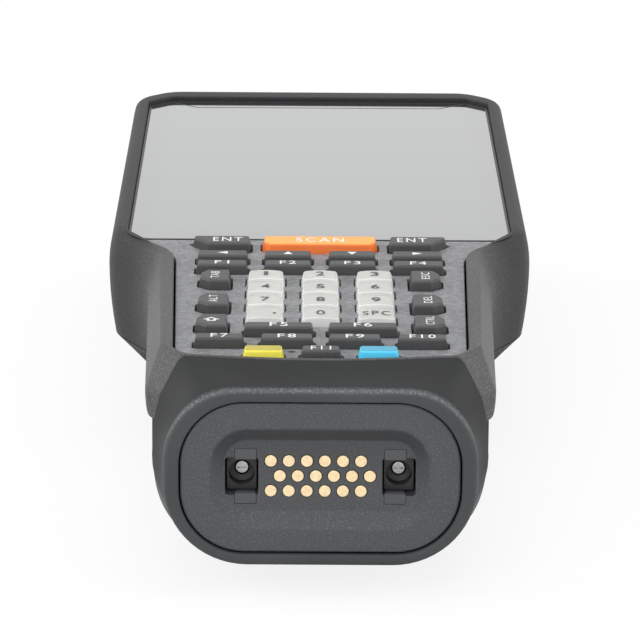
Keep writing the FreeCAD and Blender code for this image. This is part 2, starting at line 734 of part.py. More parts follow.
def scan_engine():
    """The scanner module behind its window: body, aimer and lens barrel."""
    mid_z = top_z - (scan_top_drop + scan_bottom_drop) / 2
    body = box(-13.5, 13.5, 196.0, 210.0, mid_z - 3.4, mid_z + 3.4)
    barrel = disc(-5.0, 210.0, mid_z, 3.2, 2.2, V(0, 1, 0))
    aimer = disc(7.0, 210.0, mid_z, 2.0, 1.6, V(0, 1, 0))
    return body.fuse(barrel).fuse(aimer)


def scan_window():
    pane = scan_outline(0, nose_y1 - 1.6, nose_y1 - 0.4)
    return rounded(pane, 0.2, at_y(nose_y1 - 0.4))


def rear_camera():
    """The camera barrel and the flash lens, set just inside the hump's foot."""
    parts = []
    for x, r in ((camera_x, camera_r), (flash_x, flash_r)):
        lens = disc(x, camera_y, 0.35, r, 2.6)
        parts.append(rounded(lens, 0.3, at_height(0.35)))
    return Part.makeCompound(parts)


def speaker():
    return disc(0, 138, back_z + wall + 0.1, 8.0, 3.2)


def housing_screws():
    screws = []
    for x, y in screw_places:
        seat = back_z + screw_head_high + 0.35
        head = disc(x, y, seat - screw_head_high, screw_head_r, screw_head_high)
        head = rounded(head, 0.4, at_height(seat - screw_head_high))
        screw = head.fuse(disc(x, y, seat, 1.05, 5.5))
        slots = cross_slot(x, y, seat - screw_head_high - 0.1, 1.3, 0.28, 1.1, "z")
        screws.append(screw.cut(slots))
    return Part.makeCompound(screws)


def battery_pack():
    """The pack that closes the belly of the handle, in line with its surface."""
    room = box(-40, 40, battery_y0, battery_y1, -5, top_z - battery_top_drop)
    pack = handle_belly().common(room)
    pack = max(pack.Solids, key=lambda s: s.Volume)
    notch = box(-tongue_half - 0.6, tongue_half + 0.6, battery_y1 - 2.5, battery_y1 + 1,
                tongue_z - 0.5, tongue_z + tongue_thick + 0.5)
    return pack.cut(notch)


def battery_latch():
    """The thumb slide that frees the pack: a ridged button on a guided foot."""
    face = back_z - 0.9
    slide = box(-latch_half, latch_half, latch_y0, latch_y1, face, back_z + 0.8)
    slide = rounded(slide, 0.6, at_height(face))
    slide = slide.fuse(box(-4.0, 4.0, latch_y0 + 1.0, latch_y1 - 2.0,
                           back_z + 0.7, back_z + wall + 0.6))
    slide = slide.fuse(box(-6.5, 6.5, latch_y0 + 1.0, latch_y1 - 2.0,
                           tongue_z, tongue_z + tongue_thick))
    slide = slide.fuse(box(-tongue_half, tongue_half, battery_y1 + battery_gap + 0.2,
                           latch_y0 + 2.0, tongue_z, tongue_z + tongue_thick))
    for i in range(5):
        y = latch_y0 + 1.6 + i * 1.2
        slide = slide.cut(box(-7.5, 7.5, y, y + 0.5, face - 1, face + 0.35))
    return slide


def pieces():
    """Every piece of the terminal by name."""
    keys = key_outlines()
    made = {
        "front_housing": front_housing(), "rear_housing": rear_housing(),
        "end_bumper": end_bumper(), "keypad_bezel": keypad_bezel(keys),
        "keypad_membrane": keypad_membrane(keys), "keypad_board": keypad_board(),
        "display_window": display_window(), "display_module": display_module(),
        "main_board": main_board(), "dock_plate": dock_plate(),
        "dock_contacts": dock_contacts(), "dock_sockets": dock_sockets(),
        "dock_screws": dock_screws(), "battery_pack": battery_pack(),
        "battery_latch": battery_latch(), "scan_engine": scan_engine(),
        "scan_window": scan_window(), "left_trigger": trigger(-1),
        "right_trigger": trigger(1), "housing_screws": housing_screws(),
        "rear_camera": rear_camera(), "speaker": speaker()}
    for name, corners in keys.items():
        made[name] = key_cap(name, corners)
    return made


os.makedirs("parts", exist_ok=True)
for name, shape in pieces().items():
    shape.translate(V(0, -length / 2, 0))
    if not shape.isValid() or len(shape.Solids) < 1:
        print("not valid:", name)
    shape.exportStep(os.path.join("parts", name + ".step"))
    print(f"{name:18s} solids {len(shape.Solids):2d} volume {shape.Volume:9.1f}")
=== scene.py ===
import bpy
import bmesh
import json
import math
import numpy as np
from mathutils import Matrix, Vector


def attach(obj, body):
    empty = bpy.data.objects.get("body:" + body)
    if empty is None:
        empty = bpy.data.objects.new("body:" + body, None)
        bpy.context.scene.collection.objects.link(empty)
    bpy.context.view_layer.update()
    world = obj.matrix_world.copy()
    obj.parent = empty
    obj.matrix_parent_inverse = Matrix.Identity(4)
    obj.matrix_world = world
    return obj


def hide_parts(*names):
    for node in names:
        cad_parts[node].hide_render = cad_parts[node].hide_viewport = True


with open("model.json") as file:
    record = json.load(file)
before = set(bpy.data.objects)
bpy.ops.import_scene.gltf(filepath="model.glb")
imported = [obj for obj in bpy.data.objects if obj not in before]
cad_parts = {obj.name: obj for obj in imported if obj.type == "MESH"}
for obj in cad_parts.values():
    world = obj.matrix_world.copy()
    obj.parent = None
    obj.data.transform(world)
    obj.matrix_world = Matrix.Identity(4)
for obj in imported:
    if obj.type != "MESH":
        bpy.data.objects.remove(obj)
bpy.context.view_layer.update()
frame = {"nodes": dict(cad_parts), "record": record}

# Sizes are millimetres, y counted from the docking end, until place() moves them into the frame.
terminal = {
    "length": 216.8, "topZ": 38.4, "rimHeight": 1.0,
    "headCornerY": 210.0, "headEndHalf": 32.0,
    "shoulder": (34.3, 86.0), "shoulderSlope": math.radians(27.1), "shoulderRounds": (14.0, 15.0),
    "bowY": 5.2, "bowRound": 90.0,
    "skirtZ": 32.4, "handleHemZ": 28.0, "headHemZ": 19.55,
}
topZ = terminal["topZ"]


def place(points):  # millimetres from the docking end to metres in the frame
    moved = np.array(points, float)
    moved[..., 1] -= terminal["length"] / 2
    return moved / 1000


# Meshes

def roundLoop(corners, arcSteps=7, edgeSteps=0):
    # closed outline: straight edges joined by tangent arcs, the same count of points for any sizes
    c = np.array(corners, float)
    p, r = c[:, :2], np.maximum(c[:, 2], 0.02)
    into = p - np.roll(p, 1, 0)
    out = np.roll(p, -1, 0) - p
    into /= np.linalg.norm(into, axis=1)[:, None]
    out /= np.linalg.norm(out, axis=1)[:, None]
    turn = np.arctan2(into[:, 0] * out[:, 1] - into[:, 1] * out[:, 0], (into * out).sum(1))
    start = p - into * (r * np.tan(np.abs(turn) / 2))[:, None]
    left = np.stack([-into[:, 1], into[:, 0]], 1) * (np.sign(turn) * r)[:, None]
    centre = start + left
    angle = turn[:, None] * np.linspace(0, 1, arcSteps)
    ray = -left[:, None, :]
    arcs = np.stack([ray[..., 0] * np.cos(angle) - ray[..., 1] * np.sin(angle),
                     ray[..., 0] * np.sin(angle) + ray[..., 1] * np.cos(angle)], -1)
    arcs += centre[:, None, :]
    if edgeSteps:
        t = (np.arange(edgeSteps) + 1) / (edgeSteps + 1)
        first, last = arcs[:, -1:, :], np.roll(arcs[:, :1, :], -1, 0)
        arcs = np.concatenate([arcs, first + (last - first) * t[None, :, None]], 1)
    return arcs.reshape(-1, 2)


def inset(corners, d):
    # every edge moves inwards by d, so a corner moves along the two edges' summed normals
    c = np.array(corners, float)
    p = c[:, :2]
    into = p - np.roll(p, 1, 0)
    out = np.roll(p, -1, 0) - p
    into /= np.linalg.norm(into, axis=1)[:, None]
    out /= np.linalg.norm(out, axis=1)[:, None]
    n = np.stack([-into[:, 1], into[:, 0]], 1)
    m = np.stack([-out[:, 1], out[:, 0]], 1)
    moved = p + d * (n + m) / (1 + (n * m).sum(1))[:, None]
    bend = np.sign(into[:, 0] * out[:, 1] - into[:, 1] * out[:, 0])
    return np.column_stack([moved, np.maximum(c[:, 2] - bend * d, 0.02)])


def bothSides(right):
    return [(-x, y, r) for x, y, r in reversed(right) if x > 0] + list(right)


def block(x0, x1, y0, y1, r):
    return [(x0, y0, r), (x1, y0, r), (x1, y1, r), (x0, y1, r)]


def lying(loop, z):  # an outline seen from above, at height z, which may vary along it
    return np.column_stack([loop, np.broadcast_to(z, len(loop))])


def upright(loop, y):  # an outline seen from the docking end, at y
    return np.column_stack([loop[:, 0], np.broadcast_to(y, len(loop)), loop[:, 1]])


def makePiece(name, points, faces, body="housing", sharp=40, finish=None, solid=True, second=None):
    mesh = bpy.data.meshes.new(name)
    mesh.from_pydata(place(points).tolist(), [], faces)
    if second:  # faces from this count on take the second finish
        late = (np.arange(len(faces)) >= second[0]).astype(np.int32)
        mesh.polygons.foreach_set("material_index", late)
    if solid:
        work = bmesh.new()
        work.from_mesh(mesh)
        bmesh.ops.remove_doubles(work, verts=work.verts, dist=2e-6)
        bmesh.ops.recalc_face_normals(work, faces=work.faces)
        work.to_mesh(mesh)
        work.free()
    mesh.shade_smooth()
    mesh.set_sharp_from_angle(angle=math.radians(sharp))
    piece = bpy.data.objects.new(name, mesh)
    bpy.context.scene.collection.objects.link(piece)
    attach(piece, body)
    if finish:
        mesh.materials.append(finish)
    if second:
        mesh.materials.append(second[1])
    return piece


def skin(name, rings, cap="both", **more):
    # a closed skin over rings of equally many points; an end is closed by a fan to its middle
    grid = np.array(rings, float)
    count, around = grid.shape[:2]
    points = grid.reshape(-1, 3)
    i, j = np.meshgrid(np.arange(count - 1), np.arange(around), indexing="ij")
    k = (j + 1) % around
    quads = np.stack([i * around + j, i * around + k, (i + 1) * around + k, (i + 1) * around + j], -1)
    faces = quads.reshape(-1, 4).tolist()
    edge = np.arange(around)
    for wanted, first in (("low", 0), ("high", (count - 1) * around)):
        if cap in ("both", wanted):
            middle = len(points)
            points = np.vstack([points, points[first:first + around].mean(0)])
            fan = np.stack([first + edge, first + (edge + 1) % around, np.full(around, middle)], 1)
            faces += fan.tolist()
    if cap == "loop":
        last = (count - 1) * around
        faces += np.stack([last + edge, last + (edge + 1) % around,
                           (edge + 1) % around, edge], 1).tolist()
    return makePiece(name, points, faces, **more)


# Finishes

class Signal:
    def __init__(self, finish, socket):
        self.finish = finish
        self.socket = socket

    def maths(self, kind, other, flip=False):
        pair = [other, self] if flip else [self, other]
        return self.finish.add("ShaderNodeMath", {"operation": kind}, pair)

    def __add__(self, other):
        return self.maths("ADD", other)

    def __radd__(self, other):
        return self.maths("ADD", other)

    def __sub__(self, other):
        return self.maths("SUBTRACT", other)

    def __rsub__(self, other):
        return self.maths("SUBTRACT", other, True)

    def __mul__(self, other):
        return self.maths("MULTIPLY", other)

    def __rmul__(self, other):
        return self.maths("MULTIPLY", other)

    def band(self, low, high):  # 0 below low, 1 above high, smooth between; also falls if low > high
        kind = {"interpolation_type": "SMOOTHSTEP"}
        limits = {"Value": self, "From Min": low, "From Max": high}
        return self.finish.add("ShaderNodeMapRange", kind, limits)


class Finish:
    def __init__(self, name):
        self.material = bpy.data.materials.new(name)
        self.material.use_nodes = True
        self.tree = self.material.node_tree
        self.tree.nodes.clear()
        self.shader = self.tree.nodes.new("ShaderNodeBsdfPrincipled")
        output = self.tree.nodes.new("ShaderNodeOutputMaterial")
        self.tree.links.new(self.shader.outputs[0], output.inputs[0])
        self.spot = self.add("ShaderNodeTexCoord", {}, {}, "Object")

    def add(self, kind, settings, inputs, output=0):
        node = self.tree.nodes.new(kind)
        for name, value in settings.items():
            if name == "stops":
                while len(node.color_ramp.elements) < len(value):
                    node.color_ramp.elements.new(0.5)
                for stop, (at, colour) in zip(node.color_ramp.elements, value):
                    stop.position = at
                    stop.color = (*colour, 1)
            else:
                setattr(node, name, value)
        pairs = inputs.items() if isinstance(inputs, dict) else enumerate(inputs)
        for name, value in pairs:
            self.feed(node.inputs[name], value)
        return Signal(self, node.outputs[output])

    def feed(self, socket, value):
        if isinstance(value, Signal):
            self.tree.links.new(value.socket, socket)
        elif isinstance(value, tuple) and len(value) == 3 and socket.type == "RGBA":
            socket.default_value = (*value, 1)
        else:
            socket.default_value = value

    def noise(self, scale, detail=2.0, rough=0.5):
        return self.add("ShaderNodeTexNoise", {}, {"Vector": self.spot, "Scale": scale, "Detail": detail,
                                                   "Roughness": rough}, "Fac")

    def cells(self, scale, output="Distance"):
        return self.add("ShaderNodeTexVoronoi", {}, {"Vector": self.spot, "Scale": scale}, output)

    def axis(self, name):
        return self.add("ShaderNodeSeparateXYZ", {}, [self.spot], name)

    def mix(self, mask, first, second):
        node = {"data_type": "RGBA"}
        return self.add("ShaderNodeMix", node, {0: mask, 6: first, 7: second}, 2)

    def bump(self, height, strength, distance):
        return self.add("ShaderNodeBump", {}, {"Height": height, "Strength": strength,
                                               "Distance": distance / 1000})

    def set(self, **sockets):
        names = {"colour": "Base Color", "rough": "Roughness", "metal": "Metallic", "coat": "Coat Weight",
                 "coatRough": "Coat Roughness", "coatIor": "Coat IOR", "ior": "IOR", "normal": "Normal",
                 "specular": "Specular IOR Level", "specularTint": "Specular Tint",
                 "through": "Subsurface Weight", "throughScale": "Subsurface Scale"}
        for name, value in sockets.items():
            self.feed(self.shader.inputs[names[name]], value)
        return self.material


# Places in metres in the frame where a finish changes: fades run from the first to the second value
fades = {
    # headShadeY: where the housing's painted shade past the shoulder fades in
    "headShadeY": (-0.036, -0.02),
    # ring entries: the ring's paler face, and its upper edge with rubbed wear and a painted highlight
    "ringFaceY": (-0.1066, -0.1078), "ringEdgeY": (-0.1064, -0.1075), "ringFrontY": (-0.10835, -0.1080),
    "ringHighZ": (0.022, 0.035),
    # dish entries: where the band of painted shade on the dock's dish lies
    "dishNearY": (-0.10778, -0.1074), "dishFarY": (-0.1059, -0.10635),
    "dishHighZ": (0.017, 0.027), "dishSideX": (0.0205, 0.0165),
    "earsY": (-0.1046, -0.105),
    "panelLeftX": (-0.0312, -0.0308), "panelRightX": (0.0312, 0.0308),
    "panelNearY": (-0.0106, -0.0102), "panelFarY": (0.0942, 0.0938),
}


def texturedPlastic(name, base, lighter, rough=0.55, grain=3200, depth=0.05):
    # spark-eroded moulding: fine pits, a cloudy tint and paler grain tops
    f = Finish(name)
    pits = f.noise(grain, 3, 0.6)
    cloud = f.noise(60, 3)
    tops = pits.band(0.5, 0.72)
    tint = f.mix(cloud.band(0.3, 0.7), base, tuple(v * 1.12 for v in base))
    colour = f.mix(tops * 0.8, tint, lighter)
    return f.set(colour=colour, rough=rough - tops * 0.12, normal=f.bump(pits, 0.6, depth))


def housingPlastic():
    # pale grainy moulding at the handle; past the shoulder a painted shade makes it darker, and smoother
    f = Finish("housing plastic")
    pits = f.noise(3000, 3, 0.6)
    tops = pits.band(0.48, 0.70)
    # painted shade: the head's colour is darker than the handle's, standing in for the shade that falls there
    head = f.axis("Y").band(*fades["headShadeY"])
    near = f.mix(tops, (0.058, 0.059, 0.058), (0.12, 0.12, 0.117))
    paintedHeadShade = f.mix(tops, (0.009, 0.0095, 0.011), (0.022, 0.0225, 0.024))
    cloud = f.noise(60, 3).band(0.3, 0.7) * 0.12 + 0.94
    grey = f.mix(head, near, paintedHeadShade)
    colour = f.add("ShaderNodeVectorMath", {"operation": "SCALE"}, {0: grey, "Scale": cloud})
    return f.set(colour=colour, rough=0.58 - tops * 0.1, normal=f.bump(pits, 0.6, 0.05), specular=0.32)


def sparklePlastic():
    # keypad plate: mid grey lacquer full of tiny flakes, painted as pale specks: the flakes' own tone and
    # their painted glints
    f = Finish("keypad plate")
    flakeGlints = f.cells(3600).band(0.34, 0.12)
    chance = f.noise(2600, 1).band(0.5, 0.62)
    soft = f.noise(900, 3).band(0.3, 0.75)
    base = f.mix(soft, (0.135, 0.137, 0.145), (0.225, 0.228, 0.24))
    # painted glints: pale flake specks mixed into the colour
    colour = f.mix(flakeGlints * chance * 0.9, base, (0.72, 0.72, 0.74))
    grain = f.noise(3000, 2)
    return f.set(colour=colour, rough=0.5, normal=f.bump(grain, 0.45, 0.04))


def bootRubber():
    # matt rubber, paler on the ring's face; along the ring's upper edge rubbed wear mixed with a painted
    # highlight
    f = Finish("boot rubber")
    grain = f.noise(2600, 3, 0.6)
    y, z = f.axis("Y"), f.axis("Z")
    face = y.band(*fades["ringFaceY"])
    cloud = f.noise(45, 3).band(0.3, 0.7)
    base = f.mix(cloud, (0.006, 0.0065, 0.007), (0.011, 0.012, 0.013))
    pale = f.mix(cloud, (0.040, 0.044, 0.047), (0.052, 0.057, 0.06))
    edge = y.band(*fades["ringEdgeY"]) * y.band(*fades["ringFrontY"])
    high = z.band(*fades["ringHighZ"])
    scratch = f.noise(2600, 5, 0.7)
    # painted highlight along the ring's upper edge, where light falls, with rubbed streaks as wear
    rubbedAndHighlight = edge * high * (scratch.band(0.47, 0.66) * 0.8 + 0.12)
    colour = f.mix(rubbedAndHighlight, f.mix(face, base, pale), (0.22, 0.235, 0.24))
    return f.set(colour=colour, rough=0.62, specular=0.35, normal=f.bump(grain + rubbedAndHighlight * 0.5, 0.5, 0.05))


def keyPlastic(name, base, rough=0.42, through=0.0):
    # hard-topped key: faint orange-peel lacquer, its roughness slightly uneven
    f = Finish(name)
    peel = f.noise(1400, 2)
    fine = f.noise(4200, 2)
    tint = f.mix(f.noise(220, 2).band(0.35, 0.7), base, tuple(min(v * 1.08, 1) for v in base))
    return f.set(colour=tint, rough=rough + fine * 0.08, normal=f.bump(peel * 0.5 + fine * 0.3, 0.3, 0.02),
                 through=through, throughScale=0.0006)


def legendInk(name, base):
    f = Finish(name)
    patch = f.noise(3000, 2)
    return f.set(colour=f.mix(patch.band(0.3, 0.7), base, tuple(v * 0.93 for v in base)), rough=0.5)


def goldPlate():
    f = Finish("gold plate")
    wear = f.noise(1800, 3)
    colour = f.mix(wear.band(0.35, 0.7), (0.86, 0.69, 0.44), (0.78, 0.6, 0.36))
    return f.set(colour=colour, rough=0.38 + wear * 0.12, metal=0.7, normal=f.bump(wear, 0.2, 0.01))


def coverGlass():
    # polished glass over a dark panel: its look is the room's reflection
    f = Finish("cover glass")
    x, y = f.axis("X"), f.axis("Y")
    across = x.band(*fades["panelLeftX"]) * x.band(*fades["panelRightX"])
    inside = across * y.band(*fades["panelNearY"]) * y.band(*fades["panelFarY"])
    smear = f.noise(30, 3).band(0.4, 0.8)
    colour = f.mix(inside, (0.03, 0.031, 0.033), (0.042, 0.045, 0.05))
    return f.set(colour=colour, rough=0.06 + smear * 0.03, ior=2.4, coat=1.0, coatIor=1.62, coatRough=0.05,
                 specularTint=(0.95, 0.975, 1.0))


def dockPlastic():
    # fine-grained plate with a painted shade: a dark band along the dish's upper slope
    f = Finish("dock plastic")
    pits = f.noise(3600, 3, 0.6)
    tops = pits.band(0.5, 0.72)
    y, z = f.axis("Y"), f.axis("Z")
    x = f.add("ShaderNodeMath", {"operation": "ABSOLUTE"}, [f.axis("X")])
    slope = y.band(*fades["dishNearY"]) * y.band(*fades["dishFarY"])
    shade = slope * z.band(*fades["dishHighZ"]) * x.band(*fades["dishSideX"])
    grey = f.mix(tops, (0.05, 0.053, 0.058), (0.105, 0.11, 0.116))
    # painted shade: the dish's upper slope is darkened in colour
    colour = f.mix(shade * 0.85, grey, (0.018, 0.019, 0.02))
    return f.set(colour=colour, rough=0.6 - tops * 0.1, normal=f.bump(pits, 0.6, 0.04))


def socketPlastic():
    # black block deep in the dish, its ears in the dish's own grey
    f = Finish("socket plastic")
    grain = f.noise(3600, 3)
    ears = f.axis("Y").band(*fades["earsY"])
    colour = f.mix(ears, (0.02, 0.02, 0.022), (0.06, 0.063, 0.068))
    return f.set(colour=colour, rough=0.45 + grain * 0.15, normal=f.bump(grain, 0.4, 0.03))


def darkGlass(name, base, rough=0.08):
    f = Finish(name)
    dust = f.noise(900, 2)
    return f.set(colour=f.mix(dust.band(0.3, 0.8), base, tuple(v * 1.4 for v in base)),
                 rough=rough + dust * 0.05, coat=1.0, coatRough=0.04)


def metalFinish(name, base, rough=0.35):
    f = Finish(name)
    streak = f.noise(700, 3)
    return f.set(colour=f.mix(streak.band(0.3, 0.7), base, tuple(v * 0.8 for v in base)), metal=1.0,
                 rough=rough + streak * 0.15, normal=f.bump(streak, 0.2, 0.02))


def boardLacquer():
    f = Finish("board lacquer")
    tracks = f.cells(700)
    colour = f.mix(tracks.band(0.2, 0.5), (0.02, 0.12, 0.05), (0.03, 0.2, 0.08))
    return f.set(colour=colour, rough=0.4, normal=f.bump(tracks, 0.3, 0.03))


finishes = {
    "housing": housingPlastic(),
    "bumper_rubber": bootRubber(),
    "keypad_plate": sparklePlastic(),
    "silicone": keyPlastic("keypad silicone", (0.35, 0.36, 0.37), 0.6, 0.3),
    "circuit_board": boardLacquer(),
    "window_glass": coverGlass(),
    "display_panel": darkGlass("display panel", (0.02, 0.02, 0.022)),
    "dock_plastic": dockPlastic(),
    "gold": goldPlate(),
    "black_plastic": keyPlastic("black plastic", (0.012, 0.012, 0.013), 0.4),
    "screw_steel": metalFinish("screw steel", (0.42, 0.42, 0.43), 0.22),
    "battery_plastic": texturedPlastic("battery plastic", (0.036, 0.038, 0.04), (0.09, 0.09, 0.095), 0.6),
    "engine_metal": metalFinish("scanner casting", (0.12, 0.12, 0.12), 0.45),
    "scan_glass": darkGlass("scanner window", (0.03, 0.004, 0.006)),
    "trigger_rubber": texturedPlastic("trigger rubber", (0.03, 0.03, 0.032), (0.07, 0.07, 0.072), 0.65),
    "lens_glass": darkGlass("camera lens", (0.01, 0.01, 0.014)),
    "speaker_metal": metalFinish("speaker can", (0.1, 0.1, 0.1), 0.5),
    "dark_key": keyPlastic("dark key", (0.036, 0.036, 0.037), 0.46),
    "number_key": keyPlastic("number key", (0.74, 0.745, 0.72), 0.45, 0.15),
    "orange_key": keyPlastic("orange key", (0.93, 0.2, 0.03), 0.42, 0.1),
    "yellow_key": keyPlastic("yellow key", (0.92, 0.83, 0.085), 0.42, 0.1),
    "blue_key": keyPlastic("blue key", (0.08, 0.64, 1.0), 0.42, 0.1),
}
# tops of the light keys in a tone of their own: painted light and shade, the tops toned apart from the sides
# for how light falls on them
topsPaintedLight = {
    "number_key": keyPlastic("number key top", (0.49, 0.49, 0.465), 0.5),
    "orange_key": keyPlastic("orange key top", (0.97, 0.38, 0.09), 0.5),
    "yellow_key": keyPlastic("yellow key top", (0.45, 0.38, 0.045), 0.45),
    "blue_key": keyPlastic("blue key top", (0.055, 0.33, 0.48), 0.45),
}
inks = {"pale": legendInk("pale ink", (0.82, 0.82, 0.82)), "dark": legendInk("dark ink", (0.05, 0.05, 0.05))}

finishes["dock_sockets"] = socketPlastic()
slotOf = {part["node"]: part["material_slot"] for part in frame["record"]["subparts"]}
for name, node in frame["nodes"].items():
    node.data.materials.clear()
    node.data.materials.append(finishes.get(name, finishes[slotOf[name]]))
print("finishes ready:", len(finishes))


# Upper shell: rim, side walls and the opening for window and keypad

shell = {
    # per level: two corners of the docking end, half width of handle and head, shoulder's shift
    "rim": (((23.4, 8.7, 0.4), (27.1, 15.0, 4.0)), 29.25, 38.7, 0.0),
    "skirt": (((26.9, 8.5, 0.4), (29.45, 11.4, 2.5)), 31.2, 39.3, 0.9),
    "hem": (((27.9, 9.0, 0.4), (28.75, 10.9, 1.5)), 30.2, 38.1, 0.0),
    "opening": ((22.6, 9.5, 3.6), (24.85, 13.4, 4.2), (26.6, 78.4, 14.0), (35.75, 91.3, 12.0),
                (35.75, 205.0, 1.5), (31.1, 209.95, 3.0)),
    "openingBow": 5.7, "lipRound": 0.35, "ledge": 1.25, "wall": 2.2,
    "edgeRounds": (0.5, 2.3),          # handle's crisp edge, head's soft one
    "headFrom": (72.0, 86.0), "hemStep": (73.0, 78.0), "sharp": 32,
}


def smooth(value, low, high):
    t = np.clip((value - low) / (high - low), 0, 1)
    return t * t * (3 - 2 * t)


def shellCorners(level):
    s = terminal
    ends, side, head, shift = shell[level]
    x, y = s["shoulder"]
    inner, outer = s["shoulderRounds"]
    slope = math.tan(s["shoulderSlope"])
    return bothSides([
        (0, s["bowY"], s["bowRound"]), *ends,
        (side, y + (side - x - shift) / slope, inner), (head, y + (head - x - shift) / slope, outer),
        (head, s["headCornerY"], 9), (s["headEndHalf"], s["length"], 8)])


def frontShell():
    # rings run up the opening, over the rim and down the side; the rim's edge softens and the hem
    # deepens, both smoothly, from handle to head
    crest = topZ + terminal["rimHeight"]
    steps = {"arcSteps": 9, "edgeSteps": 10}
    hole = bothSides([(0, shell["openingBow"], terminal["bowRound"]), *shell["opening"]])
    lip = shell["lipRound"]
    rings = [lying(roundLoop(hole, **steps), topZ - shell["ledge"]),
             lying(roundLoop(hole, **steps), crest - lip)]
    for a in np.linspace(0, math.pi / 2, 5)[1:]:
        loop = roundLoop(inset(hole, -lip * (1 - math.cos(a))), **steps)
        rings.append(lying(loop, crest - lip * (1 - math.sin(a))))
    rim, skirt, hem = (roundLoop(shellCorners(level), **steps) for level in ("rim", "skirt", "hem"))
    inner = roundLoop(inset(shellCorners("rim"), 2.0), **steps)
    head = smooth(rim[:, 1], *shell["headFrom"])
    r = shell["edgeRounds"][0] + (shell["edgeRounds"][1] - shell["edgeRounds"][0]) * head
    for a in np.linspace(math.pi / 2, 0.15, 9):
        back = (r * (1 - math.cos(a)) / 2.0)[:, None]
        rings.append(lying(rim + (inner - rim) * back, crest - r * (1 - math.sin(a))))
    edgeZ = rings[-1][:, 2]
    for t in (0.12, 0.35, 0.6, 0.85):
        bulge = (t + 0.25 * head * math.sin(math.pi * t))[:, None]
        rings.append(lying(rim + (skirt - rim) * bulge, edgeZ + (terminal["skirtZ"] - edgeZ) * t))
    rings.append(lying(skirt, terminal["skirtZ"]))
    hemZ = terminal["handleHemZ"] + (terminal["headHemZ"] - terminal["handleHemZ"]) \
        * smooth(skirt[:, 1], *shell["hemStep"])
    for t in (0.2, 0.4, 0.6, 0.8, 0.93, 1.0):
        tuck = ((1 - math.sqrt(1 - t * t)) * (1 - head) + t * t * head)[:, None]
        down = terminal["skirtZ"] + (hemZ - terminal["skirtZ"]) * t
        rings.append(lying(skirt + (hem - skirt) * tuck, down))
    rings.append(lying(roundLoop(inset(shellCorners("hem"), shell["wall"]), **steps), hemZ))
    rings.append(lying(roundLoop(inset(shellCorners("rim"), shell["wall"] - 0.7), **steps),
                       topZ - shell["ledge"] - 0.8))
    return skin("front_shell", rings, cap="loop", finish=finishes["housing"], sharp=shell["sharp"])


trigger = {"y": (112.0, 138.0), "drop": (6.0, 13.4), "gap": 0.2, "reach": 17.5, "depth": 0.55, "high": 5.0,
           "widest": 39.3}


def cutWith(piece, cutters):
    # every cutter's closed skin is taken away from the piece's mesh
    for cutter in cutters:
        step = piece.modifiers.new("cut", "BOOLEAN")
        step.operation, step.solver, step.object = "DIFFERENCE", "EXACT", cutter
    bpy.context.view_layer.update()
    cut = piece.evaluated_get(bpy.context.evaluated_depsgraph_get())
    mesh = bpy.data.meshes.new_from_object(cut)
    piece.modifiers.clear()
    piece.data = mesh
    mesh.shade_smooth()
    mesh.set_sharp_from_angle(angle=math.radians(shell["sharp"]))
    for cutter in cutters:
        bpy.data.objects.remove(cutter)


def triggerCutters():
    # on each side a block for the trigger and a shallow scoop, whose depth falls as the square of y
    t = trigger
    middle, low, high = sum(t["y"]) / 2, topZ - t["drop"][1], topZ - t["drop"][0]
    y = np.linspace(-t["reach"], t["reach"], 41)
    face = t["widest"] - t["depth"] * (1 - (y / t["reach"]) ** 2)
    cutters = []
    for side in (-1, 1):
        slot = np.array([(34.0, t["y"][0] - t["gap"]), (45.0, t["y"][0] - t["gap"]),
                         (45.0, t["y"][1] + t["gap"]), (34.0, t["y"][1] + t["gap"])]) * (side, 1)
        scoop = np.vstack([np.column_stack([face, y + middle]), [(45.0, t["reach"] + middle),
                                                                 (45.0, middle - t["reach"])]]) * (side, 1)
        half = (high + low) / 2
        heights = ((slot, low - t["gap"], high + t["gap"]), (scoop, half - t["high"], half + t["high"]))
        for loop, z0, z1 in heights:
            cutters.append(skin("cutter", [lying(loop, z0), lying(loop, z1)]))
    return cutters


upperShell = frontShell()
cutWith(upperShell, triggerCutters())
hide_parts("front_housing")
print("upper shell ready")


# Rubber boot and its raised ring

boot = {
    "ring": (26.1, 2.8, 33.15, 12.2, 14.0),    # half width, top drop, bottom drop, upper and lower corner
    "dock": (23.3, 5.0, 30.9, 10.7, 10.7),     # the dock plate's outline inside the ring
    "gap": 0.24, "innerRound": 0.35, "outerRound": 0.95, "lipY": 1.1,
    "end": (28.25, 33.2, 16.5),                # half width, bottom drop and corner where it meets the handle
    "endY": 9.35, "bow": (6.05, 90.0),
    "seam": ((27.9, 8.85, 28.0), (27.3, 8.6, 30.7), (26.85, 8.4, 32.4), (25.2, 8.45, 35.8),
             (23.4, 8.6, 39.15)),              # the boot's edge along the side plastic
}


def uprightBlock(half, high, low, topRound, lowRound):
    return [(half, topZ - high, topRound), (-half, topZ - high, topRound),
            (-half, topZ - low, lowRound), (half, topZ - low, lowRound)]


def bootEdge(around):
    # the boot's far edge: handle section below, side plastic's seam, keypad's bowed edge on top;
    # each ring point goes to the edge point at its own angle round the middle
    half, low, lowRound = boot["end"]
    corner = np.linspace(-math.pi / 2, 0, 15)
    under = np.column_stack([half - lowRound + lowRound * np.cos(corner), np.full(15, boot["endY"]),
                             topZ - low + lowRound + lowRound * np.sin(corner)])
    across = np.linspace(shell["rim"][0][0][0], 0, 16)[1:]
    bowY, bowRound = boot["bow"]
    top = np.column_stack([across, bowY + across ** 2 / (2 * bowRound), np.full(15, topZ + 0.8)])
    curve = np.vstack([[(0, boot["endY"], topZ - low)], under, boot["seam"], top])
    middle = topZ - 18.0
    angle = np.arctan2(curve[:, 2] - middle, curve[:, 0])
    ringAngle = np.arctan2(around[:, 1] - middle, np.abs(around[:, 0]))
    found = np.column_stack([np.interp(ringAngle, angle, curve[:, i]) for i in range(3)])
    found[:, 0] *= np.sign(around[:, 0])
    return found


